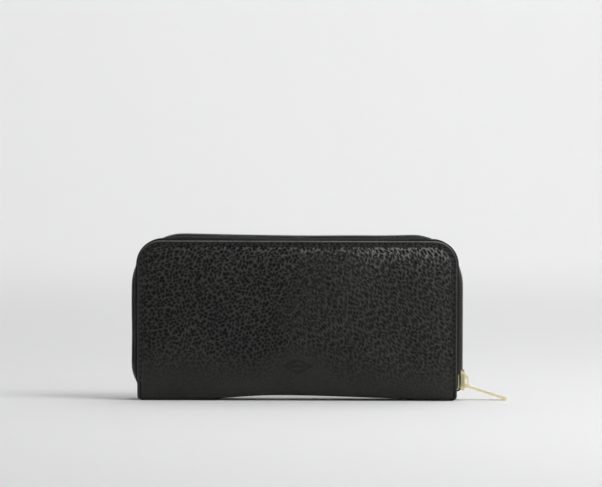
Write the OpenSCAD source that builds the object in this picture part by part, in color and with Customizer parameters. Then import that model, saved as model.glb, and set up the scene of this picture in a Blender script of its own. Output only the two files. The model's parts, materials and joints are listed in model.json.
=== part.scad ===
// Zip around wallet, closed and standing on its spine. Millimetres.
// +X is the width, +Y the depth (the front cover faces -Y), +Z is up.
// The origin is the centre of the spine's underside.

/* [Covers] */
// Half width of a cover, to its leather edge
cover_half_w = 93.5; // [88:0.5:100]
// Height of a cover's top edge above the table
cover_top = 93.5; // [88:0.5:100]
// Depth of the closed wallet, front face to back face
wallet_depth = 25; // [24:0.5:28]
// Radius of a cover's two top corners
cover_corner_r = 13.5; // [6:0.5:14]
// Radius of a cover's two bottom corners
cover_low_r = 2.5; // [1.5:0.5:5]
// Thickness of the outer leather
leather_t = 1.2; // [1.0:0.1:1.4]
// Thickness of the stiffener board
board_t = 0.6; // [0.5:0.1:0.8]
// Thickness of the lining
lining_t = 0.4; // [0.3:0.1:0.5]

/* [Folds] */
// Height of a cover's fold line above the table
fold_z = 2; // [1.9:0.1:2.4]
// Distance of a fold line behind the cover's outer face
fold_in = 2; // [1.8:0.1:2.2]
// How far a cover opens
open_angle = 35; // [15:1:40]

/* [Stitching] */
// Distance of the stitch line from the cover's edge
stitch_inset = 1.8; // [1.4:0.1:2.6]
// Width of the groove that the stitches lie in
groove_w = 0.8; // [0.6:0.1:1.2]
// Depth of that groove
groove_depth = 0.35; // [0.2:0.05:0.5]
// Height where the stitch line ends at the bottom
stitch_low_z = 9; // [7:0.5:14]

/* [Main zip] */
// How far the zip stands proud of the cover's edge
zip_proud = 3.9; // [3.4:0.1:4.4]
// Radius of the zip's corners, at the cover's edge line
zip_corner_r = 26.5; // [22:0.5:32]
// Thickness of the woven tape
tape_t = 0.6; // [0.5:0.1:0.7]
// Thickness of the coil
coil_t = 1.5; // [1.1:0.1:1.7]
// Half width of the closed coil chain
coil_half_w = 3.0; // [2.6:0.1:3.2]
// Height where the cover's stretch of zip begins
zip_low_z = 24; // [22:1:30]

/* [Main slider] */
// Height of the slider's lower end at rest
slider_low_z = 5.8; // [5.7:0.1:7]
// Length of the slider
slider_len = 12.2; // [11:0.1:13]
// Half width of the slider at its wide end
slider_half_w = 4.9; // [4.6:0.1:5.2]
// Length of the pull, from its pin to its tip
pull_len = 24.9; // [20:0.1:30]
// Half width of the pull
pull_half_w = 3.25; // [2.8:0.05:3.6]

/* [Card pockets] */
// Half width of the card panels
panel_half_w = 88; // [85:0.5:88]
// Thickness of one card panel
panel_t = 0.4; // [0.3:0.05:0.45]
// Room behind one card panel
panel_gap = 0.12; // [0.1:0.01:0.15]
// Height of the top edge of the slip pocket
slip_top = 86; // [80:1:88]
// Height of the top edge of the rearmost card pocket
card_top = 78; // [70:1:80]
// Step down from one card pocket to the next
card_step = 11; // [8:0.5:12]

/* [Coin pocket] */
// Half width of the coin pocket
coin_half_w = 80; // [70:1:80]
// Height of the coin pocket's walls
coin_top = 70.5; // [60:0.5:72]
// Outer half depth of the coin pocket
coin_half_d = 3.3; // [3.2:0.05:3.35]
// Thickness of a coin pocket wall
coin_wall_t = 0.5; // [0.4:0.05:0.5]
// Travel of the coin zip's slider
coin_travel = 130; // [80:5:130]

/* [Hidden] */
$fn = 48;

// Depth stations, counted from the middle plane outwards
face_y = wallet_depth / 2;
leather_in_y = face_y - leather_t;
board_in_y = leather_in_y - board_t;
lining_in_y = board_in_y - lining_t;
fold_y = face_y - fold_in;

// Heights of the spine's layers
spine_board_t = 0.4;
spine_lining_t = 0.3;
spine_board_z = leather_t + spine_board_t;
floor_z = spine_board_z + spine_lining_t;
spine_half_l = cover_half_w - 1;
spine_edge_from = 180 + open_angle + 5;

// Main zip section, n counted outwards from the cover's edge
seam_w = 6;
coil_in_n = zip_proud - coil_t;
tape_in_n = coil_in_n - tape_t;
zip_mid_gap = 0.6;
tape_flat_y = 6;
tape_bend_y = leather_in_y - 1.9;
zip_cx = cover_half_w - zip_corner_r;
zip_cz = cover_top - zip_corner_r;

// Tails of the main zip, below the covers' stretch
tail_top_z = zip_low_z - 0.3;
tail_half_d = 5.6;
tail_mid_n = tape_in_n + tape_t / 2;
left_bend_r = 21;
left_bend_z = 21;
left_tape_r = left_bend_r - coil_t - tape_t / 2;
left_bend_cx = cover_half_w + zip_proud - left_bend_r;
left_bend_angle = asin((left_bend_z - floor_z) / (left_tape_r + tape_t / 2));
right_bend_z = 6.3;
right_bend_r = right_bend_z - floor_z - tape_t / 2;
right_bend_cx = cover_half_w + tail_mid_n - right_bend_r;
right_tab_l = 8;
tail_coil_low_right = 9.5;
tail_coil_angle = 44;

// Main slider
clear = 0.15;
plate_t = 0.75;
top_plate_n = zip_proud + clear;
top_face_n = top_plate_n + plate_t;
low_plate_n = tape_in_n - clear - plate_t;
flange_low_n = coil_in_n + clear;
slider_narrow = 3.9;
flange_t = 0.7;
wedge_half_w = 0.4;
wedge_len = 3.4;
bridge_half_t = 0.9;
bridge_r = 1.25;
pin_r = 0.5;
pin_clear = 0.05;
pin_x = cover_half_w + top_face_n + bridge_r - 0.05;
pin_z = slider_low_z + 2.6;
slot_len = 3.7;
bridge_len = 4.3;
bridge_end_r = 2 * bridge_r - 0.05;

// Pull
eye_r = 0.95;
eye_half_t = 0.65;
tip_half_t = 0.8;
window_half_w = 1.2;
window_len = 7.6;
rest_gap = 0.03;
pull_drop = asin((pin_z - tip_half_t * cos(18) - rest_gap) / pull_len);
tip_r = 1.4;

// Coin zip
coin_zip_l = coin_half_w - 1;
coin_coil_half_l = coin_zip_l - 2;
coin_tape_t = 0.4;
coin_tape_z = coin_top + 2.9;
coin_tape_top = coin_tape_z + coin_tape_t;
coin_coil_t = 1.0;
coin_coil_top = coin_tape_top + coin_coil_t;
coin_coil_half_w = 1.8;
coin_mid_gap = 0.5;
coin_leg_z = coin_top - 6;
coin_in_y = coin_half_d - coin_wall_t;
coin_slider_x = 66;
coin_slider_len = 8;
coin_slider_half_w = 2.6;
coin_plate_t = 0.55;
coin_flange_t = 0.5;
coin_plate_z = coin_coil_top + clear;
coin_face_z = coin_plate_z + coin_plate_t;
coin_low_plate_z = coin_tape_z - clear - coin_plate_t;
coin_low_half_w = coin_in_y - coin_tape_t - 0.2;
coin_wedge_half_w = 0.3;
coin_wedge_len = 2.4;
coin_bridge_half_t = 0.6;
coin_bridge_r = 0.95;
coin_pin_r = 0.4;
coin_pin_x = coin_slider_x + 1.8;
coin_pin_z = coin_face_z + coin_bridge_r - 0.05;
coin_slot_len = 2.2;
coin_bridge_len = 2.4;
coin_pull_len = 15;
coin_pull_half_w = 2.2;
coin_pull_half_t = 0.5;
coin_eye_r = 0.7;
coin_window_half_w = 0.85;
coin_window_len = 5.6;
coin_pull_drop = 3;
stop_t = 1.2;

// Gussets
gusset_t = 0.4;
gusset_low_z = 8;
gusset_fold_z = 12;
gusset_fold_w = 16;
gusset_web_x = panel_half_w + 0.3;
gusset_top = coin_top - 0.5;
gusset_outer_y = lining_in_y - 5 * (panel_t + panel_gap) - 0.05;
gusset_inner_x0 = coin_half_w - 2;
gusset_inner_x1 = 88;

// Debossed mark
mark_z = 20;
mark_half_w = 9.5;
mark_half_h = 4.5;
mark_line = 1.1;
mark_depth = 0.25;

// Linings and boards in the covers
board_inset = seam_w + 0.2;
lining_inset = 1;
inner_low_z = 3.5;

// Colours
leather_color = [0.05, 0.05, 0.055];
lining_color = [0.09, 0.09, 0.10];
board_color = [0.45, 0.38, 0.28];
tape_color = [0.03, 0.03, 0.035];
coil_color = [0.02, 0.02, 0.02];
gold_color = [0.83, 0.66, 0.32];
thread_color = [0.02, 0.02, 0.02];

// ---- helpers ----

// Extrudes a shape drawn in X and Z from depth y0 to depth y1.
module slab(y0, y1) {
    translate([0, y1, 0])
        rotate([90, 0, 0])
            linear_extrude(height = y1 - y0)
                children();
}

// Puts a cover built on the front side onto the back.
module on_back() {
    mirror([0, 1, 0])
        children();
}

// A panel's outline: rounded top corners and rounded bottom corners.
module outline(half_w, low, high, top_r, low_r) {
    translate([-half_w, low + low_r])
        square([2 * half_w, high - top_r - low - low_r]);
    translate([-half_w + top_r, high - top_r - low_r])
        square([2 * (half_w - top_r), top_r + low_r]);
    translate([-half_w + low_r, low])
        square([2 * (half_w - low_r), 2 * low_r]);
    for (side = [-1, 1]) {
        translate([side * (half_w - top_r), high - top_r])
            circle(top_r);
        translate([side * (half_w - low_r), low + low_r])
            circle(low_r);
    }
}

// Sweeps a section drawn in n and y round the three zipped sides.
module swept_around(low) {
    for (side = [0, 1]) {
        mirror([side, 0, 0]) {
            translate([cover_half_w, 0, low])
                linear_extrude(height = zip_cz - low)
                    children();
            translate([zip_cx, 0, zip_cz])
                rotate([90, 0, 0])
                    rotate_extrude(angle = 90)
                        mirror([0, 1])
                            translate([zip_corner_r, 0])
                                children();
        }
    }
    translate([-zip_cx, 0, cover_top])
        rotate([0, 90, 0])
            linear_extrude(height = 2 * zip_cx)
                mirror([1, 0])
                    children();
}

// The main tape's section on the front side.
module tape_section() {
    polygon([
        [-seam_w, -leather_in_y], [0.2, -leather_in_y],
        [coil_in_n - 0.9, -tape_bend_y], [coil_in_n, -tape_flat_y],
        [coil_in_n, -zip_mid_gap], [tape_in_n, -zip_mid_gap],
        [tape_in_n, -tape_flat_y + 0.1], [tape_in_n - 0.75, -tape_bend_y + 0.4],
        [-0.05, -board_in_y], [-seam_w, -board_in_y],
    ]);
}

// The main coil's section on the front side.
module coil_section() {
    polygon([
        [coil_in_n, -coil_half_w], [zip_proud - 0.5, -coil_half_w],
        [zip_proud, -coil_half_w + 0.6], [zip_proud, -zip_mid_gap],
        [coil_in_n, -zip_mid_gap],
    ]);
}

// ---- covers, built on the front side ----

module stitch_path(width) {
    half = width / 2;
    intersection() {
        difference() {
            outline(cover_half_w - stitch_inset + half, fold_z, cover_top - stitch_inset + half,
                cover_corner_r - stitch_inset + half, 1);
            outline(cover_half_w - stitch_inset - half, fold_z - 1, cover_top - stitch_inset - half,
                cover_corner_r - stitch_inset - half, 1);
        }
        translate([-cover_half_w, stitch_low_z])
            square([2 * cover_half_w, cover_top]);
    }
}

module mark_shape() {
    translate([0, mark_z])
        difference() {
            polygon([[-mark_half_w, 0], [0, mark_half_h], [mark_half_w, 0], [0, -mark_half_h]]);
            polygon([
                [-mark_half_w + 2 * mark_line, 0], [0, mark_half_h - mark_line],
                [mark_half_w - 2 * mark_line, 0], [0, -mark_half_h + mark_line],
            ]);
        }
}

module cover_leather(marked) {
    difference() {
        slab(-face_y, -leather_in_y)
            outline(cover_half_w, fold_z, cover_top, cover_corner_r, cover_low_r);
        slab(-face_y - 1, -face_y + groove_depth)
            stitch_path(groove_w);
        if (marked) {
            slab(-face_y - 1, -face_y + mark_depth)
                mark_shape();
        }
    }
}

module cover_board() {
    slab(-leather_in_y, -board_in_y)
        outline(cover_half_w - board_inset, inner_low_z, cover_top - board_inset,
            zip_corner_r - board_inset, 1);
}

module cover_lining() {
    slab(-board_in_y, -lining_in_y)
        outline(cover_half_w - lining_inset, inner_low_z, cover_top - lining_inset,
            zip_corner_r - lining_inset, 1);
}

module cover_stitching() {
    thread_w = groove_w - 0.3;
    thread_t = groove_depth - 0.05;
    slab(-face_y + groove_depth - thread_t, -face_y + groove_depth)
        stitch_path(thread_w);
}

// One pocket panel with the seams that hold it to the layer behind.
module pocket_panel(layer, top, corner_r) {
    seam = 1.6;
    low = 6;
    back_y = -lining_in_y + layer * (panel_t + panel_gap);
    slab(back_y + panel_gap, back_y + panel_gap + panel_t)
        outline(panel_half_w, low, top, corner_r, 1);
    slab(back_y, back_y + panel_gap)
        intersection() {
            outline(panel_half_w, low, top - corner_r, 1, 1);
            union() {
                translate([-panel_half_w, low])
                    square([2 * panel_half_w, seam]);
                for (x = [-panel_half_w, -seam / 2, panel_half_w - seam]) {
                    translate([x, low])
                        square([seam, top]);
                }
            }
        }
}

// A leaf that widens with height, and the web that joins it to the lining.
module gusset_outer(side) {
    web_x = gusset_web_x;
    far_x = web_x + gusset_t;
    y1 = -gusset_outer_y;
    mirror([side < 0 ? 1 : 0, 0, 0]) {
        translate([web_x, -lining_in_y, gusset_low_z])
            cube([gusset_t, lining_in_y - gusset_outer_y + gusset_t, gusset_top - gusset_low_z]);
        slab(y1, y1 + gusset_t)
            polygon([
                [far_x, gusset_low_z], [far_x, gusset_top], [far_x - gusset_fold_w, gusset_top],
                [web_x - gusset_t, gusset_fold_z], [web_x - gusset_t, gusset_low_z],
            ]);
    }
}

module gusset_inner(side) {
    low_x = min(side * gusset_inner_x0, side * gusset_inner_x1);
    translate([low_x, -coin_half_d - gusset_t, gusset_low_z])
        cube([gusset_inner_x1 - gusset_inner_x0, gusset_t, gusset_top - gusset_low_z]);
}

module front_cover_leather() { color(leather_color) cover_leather(true); }
module front_cover_board() { color(board_color) cover_board(); }
module front_cover_lining() { color(lining_color) cover_lining(); }
module front_slip_pocket() { color(lining_color) pocket_panel(0, slip_top, 12); }
module front_card_pocket_1() { color(leather_color) pocket_panel(1, card_top, 2); }
module front_card_pocket_2() { color(leather_color) pocket_panel(2, card_top - card_step, 2); }
module front_card_pocket_3() { color(leather_color) pocket_panel(3, card_top - 2 * card_step, 2); }
module front_card_pocket_4() { color(leather_color) pocket_panel(4, card_top - 3 * card_step, 2); }
module front_stitching() { color(thread_color) cover_stitching(); }
module front_zip_tape() { color(tape_color) swept_around(zip_low_z) tape_section(); }
module front_zip_coil() { color(coil_color) swept_around(zip_low_z) coil_section(); }
module gusset_outer_front_left() { color(lining_color) gusset_outer(-1); }
module gusset_outer_front_right() { color(lining_color) gusset_outer(1); }
module gusset_inner_front_left() { color(lining_color) gusset_inner(-1); }
module gusset_inner_front_right() { color(lining_color) gusset_inner(1); }

module back_cover_leather() { color(leather_color) on_back() cover_leather(false); }
module back_cover_board() { color(board_color) on_back() cover_board(); }
module back_cover_lining() { color(lining_color) on_back() cover_lining(); }
module back_slip_pocket() { color(lining_color) on_back() pocket_panel(0, slip_top, 12); }
module back_card_pocket_1() { color(leather_color) on_back() pocket_panel(1, card_top, 2); }
module back_card_pocket_2() { color(leather_color) on_back() pocket_panel(2, card_top - card_step, 2); }
module back_card_pocket_3() { color(leather_color) on_back() pocket_panel(3, card_top - 2 * card_step, 2); }
module back_card_pocket_4() { color(leather_color) on_back() pocket_panel(4, card_top - 3 * card_step, 2); }
module back_stitching() { color(thread_color) on_back() cover_stitching(); }
module back_zip_tape() { color(tape_color) on_back() swept_around(zip_low_z) tape_section(); }
module back_zip_coil() { color(coil_color) on_back() swept_around(zip_low_z) coil_section(); }
module gusset_outer_back_left() { color(lining_color) on_back() gusset_outer(-1); }
module gusset_outer_back_right() { color(lining_color) on_back() gusset_outer(1); }
module gusset_inner_back_left() { color(lining_color) on_back() gusset_inner(-1); }
module gusset_inner_back_right() { color(lining_color) on_back() gusset_inner(1); }

// ---- spine ----

// The spine's strip with a rounded edge that stops short of each cover.
module spine_leather() {
    edge_out = fold_in;
    edge_in = fold_in - leather_t;
    color(leather_color) {
        translate([-spine_half_l, -fold_y, fold_z - fold_in])
            cube([2 * spine_half_l, 2 * fold_y, leather_t]);
        for (side = [0, 1]) {
            mirror([0, side, 0])
                translate([-spine_half_l, -fold_y, fold_z])
                    rotate([90, 0, 90])
                        rotate_extrude_sector(edge_in, edge_out, 2 * spine_half_l);
        }
    }
}

// A strip with a ring sector as its section, from the fold's lowest point outwards.
module rotate_extrude_sector(r_in, r_out, length) {
    reach = 2 * r_out;
    linear_extrude(height = length)
        intersection() {
            difference() {
                circle(r_out);
                circle(r_in);
            }
            polygon([
                [0, 0], [0, -reach],
                [reach * cos(spine_edge_from), -reach],
                [reach * cos(spine_edge_from), reach * sin(spine_edge_from)],
            ]);
        }
}

module spine_board() {
    half_d = fold_y - 1.5;
    color(board_color)
        translate([-spine_half_l + 2, -half_d, leather_t])
            cube([2 * (spine_half_l - 2), 2 * half_d, spine_board_t]);
}

module spine_lining() {
    half_d = fold_y - 1;
    color(lining_color)
        translate([-spine_half_l + 1, -half_d, spine_board_z])
            cube([2 * (spine_half_l - 1), 2 * half_d, spine_lining_t]);
}

// ---- tails of the main zip ----

// One straight strip of the right or left leg, both halves.
module tail_leg(n0, n1, y0, y1, low, side) {
    x0 = side > 0 ? cover_half_w + n0 : -cover_half_w - n1;
    for (half = [0, 1]) {
        mirror([0, half, 0])
            translate([x0, -y1, low])
                cube([n1 - n0, y1 - y0, tail_top_z - low]);
    }
}

// One bent strip, both halves, from the leg inwards and down.
module tail_bend(cx, cz, r0, r1, y0, y1, angle) {
    for (half = [0, 1]) {
        mirror([0, half, 0])
            translate([cx, -y0, cz])
                rotate([90, 0, 0])
                    rotate_extrude(angle = -angle)
                        translate([r0, 0])
                            square([r1 - r0, y1 - y0]);
    }
}

module zip_tail_tape_left() {
    color(tape_color) {
        tail_leg(tape_in_n, coil_in_n, zip_mid_gap, tail_half_d, left_bend_z, -1);
        mirror([1, 0, 0])
            tail_bend(left_bend_cx, left_bend_z, left_tape_r - tape_t / 2, left_tape_r + tape_t / 2,
                zip_mid_gap, tail_half_d, left_bend_angle);
    }
}

module zip_tail_coil_left() {
    color(coil_color) {
        tail_leg(coil_in_n, zip_proud, zip_mid_gap, coil_half_w, left_bend_z, -1);
        mirror([1, 0, 0])
            tail_bend(left_bend_cx, left_bend_z, left_tape_r + tape_t / 2, left_bend_r,
                zip_mid_gap, coil_half_w, tail_coil_angle);
    }
}

module zip_tail_tape_right() {
    color(tape_color) {
        tail_leg(tape_in_n, coil_in_n, zip_mid_gap, tail_half_d, right_bend_z, 1);
        tail_bend(right_bend_cx, right_bend_z, right_bend_r - tape_t / 2, right_bend_r + tape_t / 2,
            zip_mid_gap, tail_half_d, 90);
        for (half = [0, 1]) {
            mirror([0, half, 0])
                translate([right_bend_cx - right_tab_l, -tail_half_d, floor_z])
                    cube([right_tab_l, tail_half_d - zip_mid_gap, tape_t]);
        }
    }
}

module zip_tail_coil_right() {
    color(coil_color)
        tail_leg(coil_in_n, zip_proud, zip_mid_gap, coil_half_w, tail_coil_low_right, 1);
}

// The stop that joins both halves, past the coil's lower left end.
module zip_stop_left() {
    color(gold_color)
        mirror([1, 0, 0])
            translate([left_bend_cx, 0, left_bend_z])
                rotate([0, tail_coil_angle + 4, 0])
                    translate([left_tape_r + tape_t / 2, -coil_half_w, -stop_t])
                        cube([coil_t, 2 * coil_half_w, 2 * stop_t]);
}

// A small stop on each half at the closed end, hidden under the slider.
module zip_stops_right() {
    color(gold_color)
        for (half = [0, 1]) {
            mirror([0, half, 0])
                translate([cover_half_w + coil_in_n, -coil_half_w, tail_coil_low_right - stop_t - 0.1])
                    cube([coil_t, coil_half_w - zip_mid_gap - 0.4, stop_t]);
        }
}

// ---- coin pocket ----

module coin_wall() {
    translate([-coin_half_w, -coin_half_d, floor_z])
        cube([2 * coin_half_w, coin_wall_t, coin_top - floor_z]);
}

module coin_side(side) {
    low_x = side > 0 ? coin_half_w - coin_wall_t : -coin_half_w;
    translate([low_x, -coin_in_y, floor_z])
        cube([coin_wall_t, 2 * coin_in_y, coin_leg_z - 1 - floor_z]);
}

module coin_tape() {
    rotate([90, 0, 90])
        translate([0, 0, -coin_zip_l])
            linear_extrude(height = 2 * coin_zip_l)
                polygon([
                    [-coin_in_y, coin_leg_z], [-coin_in_y + coin_tape_t, coin_leg_z],
                    [-coin_in_y + coin_tape_t, coin_tape_z], [-coin_mid_gap, coin_tape_z],
                    [-coin_mid_gap, coin_tape_top], [-coin_in_y, coin_tape_top],
                ]);
}

module coin_coil() {
    translate([-coin_coil_half_l, -coin_coil_half_w, coin_tape_top])
        cube([2 * coin_coil_half_l, coin_coil_half_w - coin_mid_gap, coin_coil_t]);
}

module coin_pocket_front_wall() { color(lining_color) coin_wall(); }
module coin_pocket_back_wall() { color(lining_color) on_back() coin_wall(); }
module coin_pocket_left_side() { color(lining_color) coin_side(-1); }
module coin_pocket_right_side() { color(lining_color) coin_side(1); }
module coin_zip_tape_front() { color(tape_color) coin_tape(); }
module coin_zip_tape_back() { color(tape_color) on_back() coin_tape(); }
module coin_zip_coil_front() { color(coil_color) coin_coil(); }
module coin_zip_coil_back() { color(coil_color) on_back() coin_coil(); }

module coin_zip_stops() {
    color(gold_color)
        for (x = [-coin_coil_half_l - stop_t - 0.1, coin_coil_half_l + 0.1]) {
            for (half = [0, 1]) {
                mirror([0, half, 0])
                    translate([x, -coin_coil_half_w, coin_tape_top])
                        cube([stop_t, coin_coil_half_w - coin_mid_gap, coin_coil_t - 0.2]);
            }
        }
}

// ---- sliders and pulls ----

// The main slider's plate outline, drawn in Y and Z from its lower end.
module plate_outline(inset) {
    wide = slider_half_w - inset;
    slim = slider_narrow - inset;
    polygon([
        [-wide, 1.4], [-wide + 1.3, inset], [wide - 1.3, inset], [wide, 1.4],
        [wide, 4.2], [slim, 7.2], [slim, slider_len - 1.1], [slim - 0.8, slider_len - inset],
        [-slim + 0.8, slider_len - inset], [-slim, slider_len - 1.1], [-slim, 7.2], [-wide, 4.2],
    ]);
}

// Raises a shape drawn in Y and Z from n0 to n1 on the right leg.
module raised(n0, n1) {
    translate([cover_half_w + n0, 0, slider_low_z])
        rotate([90, 0, 90])
            linear_extrude(height = n1 - n0)
                children();
}

module slider_bridge() {
    base_x = cover_half_w + top_face_n - 0.05;
    difference() {
        slab(-bridge_half_t, bridge_half_t)
            union() {
                translate([pin_x, pin_z])
                    circle(bridge_r);
                translate([base_x, pin_z - bridge_r])
                    square([pin_x - base_x, bridge_r]);
                translate([base_x, pin_z])
                    square([pin_x + bridge_r - base_x, bridge_len]);
                intersection() {
                    translate([pin_x - bridge_r + 0.05, pin_z + bridge_len])
                        circle(bridge_end_r);
                    translate([base_x, pin_z])
                        square([2 * bridge_end_r, 2 * bridge_len]);
                }
            }
        slab(-2 * bridge_half_t, 2 * bridge_half_t)
            union() {
                for (up = [0, slot_len]) {
                    translate([pin_x, pin_z + up])
                        circle(pin_r + pin_clear);
                }
                translate([pin_x - pin_r - pin_clear, pin_z])
                    square([2 * (pin_r + pin_clear), slot_len]);
            }
    }
}

module slider_body() {
    color(gold_color)
        union() {
            raised(top_plate_n, top_face_n)
                plate_outline(0);
            raised(flange_low_n, top_plate_n)
                difference() {
                    plate_outline(0);
                    union() {
                        plate_outline(flange_t);
                        translate([-slider_narrow + flange_t, -1])
                            square([2 * (slider_narrow - flange_t), slider_len + 2]);
                    }
                }
            raised(low_plate_n, low_plate_n + plate_t)
                plate_outline(0.5);
            raised(low_plate_n, top_face_n)
                translate([-wedge_half_w, 1.2])
                    square([2 * wedge_half_w, wedge_len]);
            slider_bridge();
        }
}

module pull_tab() {
    color(gold_color)
        translate([pin_x, 0, pin_z])
            rotate([0, pull_drop, 0])
                union() {
                    difference() {
                        union() {
                            slab(-pull_half_w, pull_half_w)
                                union() {
                                    circle(eye_r);
                                    polygon([
                                        [0, -eye_half_t], [pull_len - 1, -tip_half_t],
                                        [pull_len, -tip_half_t + 0.25], [pull_len, tip_half_t - 0.25],
                                        [pull_len - 1, tip_half_t], [0, eye_half_t],
                                    ]);
                                }
                        }
                        translate([-2, -window_half_w, -2])
                            cube([window_len + 2, 2 * window_half_w, 4]);
                        for (side = [0, 1]) {
                            mirror([0, side, 0])
                                pull_corner_cut();
                        }
                    }
                    slab(-window_half_w - 0.2, window_half_w + 0.2)
                        circle(pin_r);
                }
}

// Cuts one corner of the pull's tip to a quarter round.
module pull_corner_cut() {
    translate([pull_len - tip_r, pull_half_w - tip_r, -2])
        linear_extrude(height = 4)
            difference() {
                square([2 * tip_r, 2 * tip_r]);
                circle(tip_r);
            }
}

module coin_slider_body() {
    mid_x = coin_slider_x + coin_slider_len / 2;
    base_z = coin_face_z - 0.05;
    slot_r = coin_pin_r + pin_clear;
    color(gold_color)
        union() {
            translate([coin_slider_x, -coin_slider_half_w, coin_plate_z])
                cube([coin_slider_len, 2 * coin_slider_half_w, coin_plate_t]);
            for (side = [0, 1]) {
                mirror([0, side, 0])
                    translate([coin_slider_x + 1, -coin_slider_half_w, coin_tape_top + clear])
                        cube([coin_slider_len - 2, coin_flange_t, coin_plate_z - coin_tape_top - clear]);
            }
            translate([coin_slider_x, -coin_low_half_w, coin_low_plate_z])
                cube([coin_slider_len, 2 * coin_low_half_w, coin_plate_t]);
            translate([mid_x + 1, -coin_wedge_half_w, coin_low_plate_z])
                cube([coin_wedge_len, 2 * coin_wedge_half_w, coin_face_z - coin_low_plate_z]);
            difference() {
                slab(-coin_bridge_half_t, coin_bridge_half_t)
                    union() {
                        translate([coin_pin_x, coin_pin_z])
                            circle(coin_bridge_r);
                        translate([coin_pin_x - coin_bridge_r, base_z])
                            square([coin_bridge_r, coin_pin_z - base_z]);
                        translate([coin_pin_x, base_z])
                            square([coin_bridge_len, coin_pin_z + coin_bridge_r - base_z]);
                        translate([coin_pin_x + coin_bridge_len, coin_pin_z])
                            circle(coin_bridge_r);
                    }
                slab(-2 * coin_bridge_half_t, 2 * coin_bridge_half_t)
                    union() {
                        for (along = [0, coin_slot_len]) {
                            translate([coin_pin_x + along, coin_pin_z])
                                circle(slot_r);
                        }
                        translate([coin_pin_x, coin_pin_z - slot_r])
                            square([coin_slot_len, 2 * slot_r]);
                    }
            }
        }
}

module coin_pull_tab() {
    color(gold_color)
        translate([coin_pin_x, 0, coin_pin_z])
            rotate([0, 180 - coin_pull_drop, 0])
                union() {
                    difference() {
                        slab(-coin_pull_half_w, coin_pull_half_w)
                            union() {
                                circle(coin_eye_r);
                                translate([0, -coin_pull_half_t])
                                    square([coin_pull_len, 2 * coin_pull_half_t]);
                            }
                        translate([-2, -coin_window_half_w, -2])
                            cube([coin_window_len + 2, 2 * coin_window_half_w, 4]);
                    }
                    slab(-coin_window_half_w - 0.2, coin_window_half_w + 0.2)
                        circle(coin_pin_r);
                }
}

// ---- nodes ----

spine_leather();
spine_board();
spine_lining();
zip_tail_tape_left();
zip_tail_tape_right();
zip_tail_coil_left();
zip_tail_coil_right();
zip_stop_left();
zip_stops_right();
coin_pocket_front_wall();
coin_pocket_back_wall();
coin_pocket_left_side();
coin_pocket_right_side();
coin_zip_tape_front();
coin_zip_tape_back();
coin_zip_coil_front();
coin_zip_coil_back();
coin_zip_stops();
gusset_inner_front_left();
gusset_inner_front_right();
gusset_inner_back_left();
gusset_inner_back_right();
front_cover_leather();
front_cover_board();
front_cover_lining();
front_slip_pocket();
front_card_pocket_1();
front_card_pocket_2();
front_card_pocket_3();
front_card_pocket_4();
front_stitching();
front_zip_tape();
front_zip_coil();
gusset_outer_front_left();
gusset_outer_front_right();
back_cover_leather();
back_cover_board();
back_cover_lining();
back_slip_pocket();
back_card_pocket_1();
back_card_pocket_2();
back_card_pocket_3();
back_card_pocket_4();
back_stitching();
back_zip_tape();
back_zip_coil();
gusset_outer_back_left();
gusset_outer_back_right();
slider_body();
pull_tab();
coin_slider_body();
coin_pull_tab();
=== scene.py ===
"""Zip around wallet: the looks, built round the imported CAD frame.

Lengths in this script are millimetres unless a name says otherwise; MM turns them into metres
when a mesh is made. The front half is built facing -Y and the back half is its mirror image.
"""

import json
import math

import bmesh
import bpy
import numpy as np
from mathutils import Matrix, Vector


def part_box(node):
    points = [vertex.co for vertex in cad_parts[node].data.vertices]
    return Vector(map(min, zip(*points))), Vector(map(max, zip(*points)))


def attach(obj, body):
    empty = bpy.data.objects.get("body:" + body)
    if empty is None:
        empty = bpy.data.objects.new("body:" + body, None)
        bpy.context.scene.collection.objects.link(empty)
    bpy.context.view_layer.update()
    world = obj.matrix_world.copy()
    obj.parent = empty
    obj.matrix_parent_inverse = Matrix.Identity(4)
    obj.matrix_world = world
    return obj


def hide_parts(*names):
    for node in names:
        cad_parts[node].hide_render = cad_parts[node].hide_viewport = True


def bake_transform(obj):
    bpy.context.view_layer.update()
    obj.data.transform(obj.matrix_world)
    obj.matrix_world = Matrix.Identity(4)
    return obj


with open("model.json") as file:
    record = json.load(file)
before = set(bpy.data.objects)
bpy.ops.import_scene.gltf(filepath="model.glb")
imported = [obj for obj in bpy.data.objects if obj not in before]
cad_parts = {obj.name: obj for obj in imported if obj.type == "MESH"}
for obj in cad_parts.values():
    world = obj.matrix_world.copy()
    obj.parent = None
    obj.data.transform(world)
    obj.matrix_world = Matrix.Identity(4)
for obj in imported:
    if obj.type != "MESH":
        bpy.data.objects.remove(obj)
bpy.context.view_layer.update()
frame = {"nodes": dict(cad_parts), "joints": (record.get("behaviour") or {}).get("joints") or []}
MM = 0.001


def node_box(node):
    """A CAD node's lowest and highest corners, in millimetres."""
    low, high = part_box(node)
    return np.array(low) / MM, np.array(high) / MM


# ---- dimensions, read from the frame ----

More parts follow.
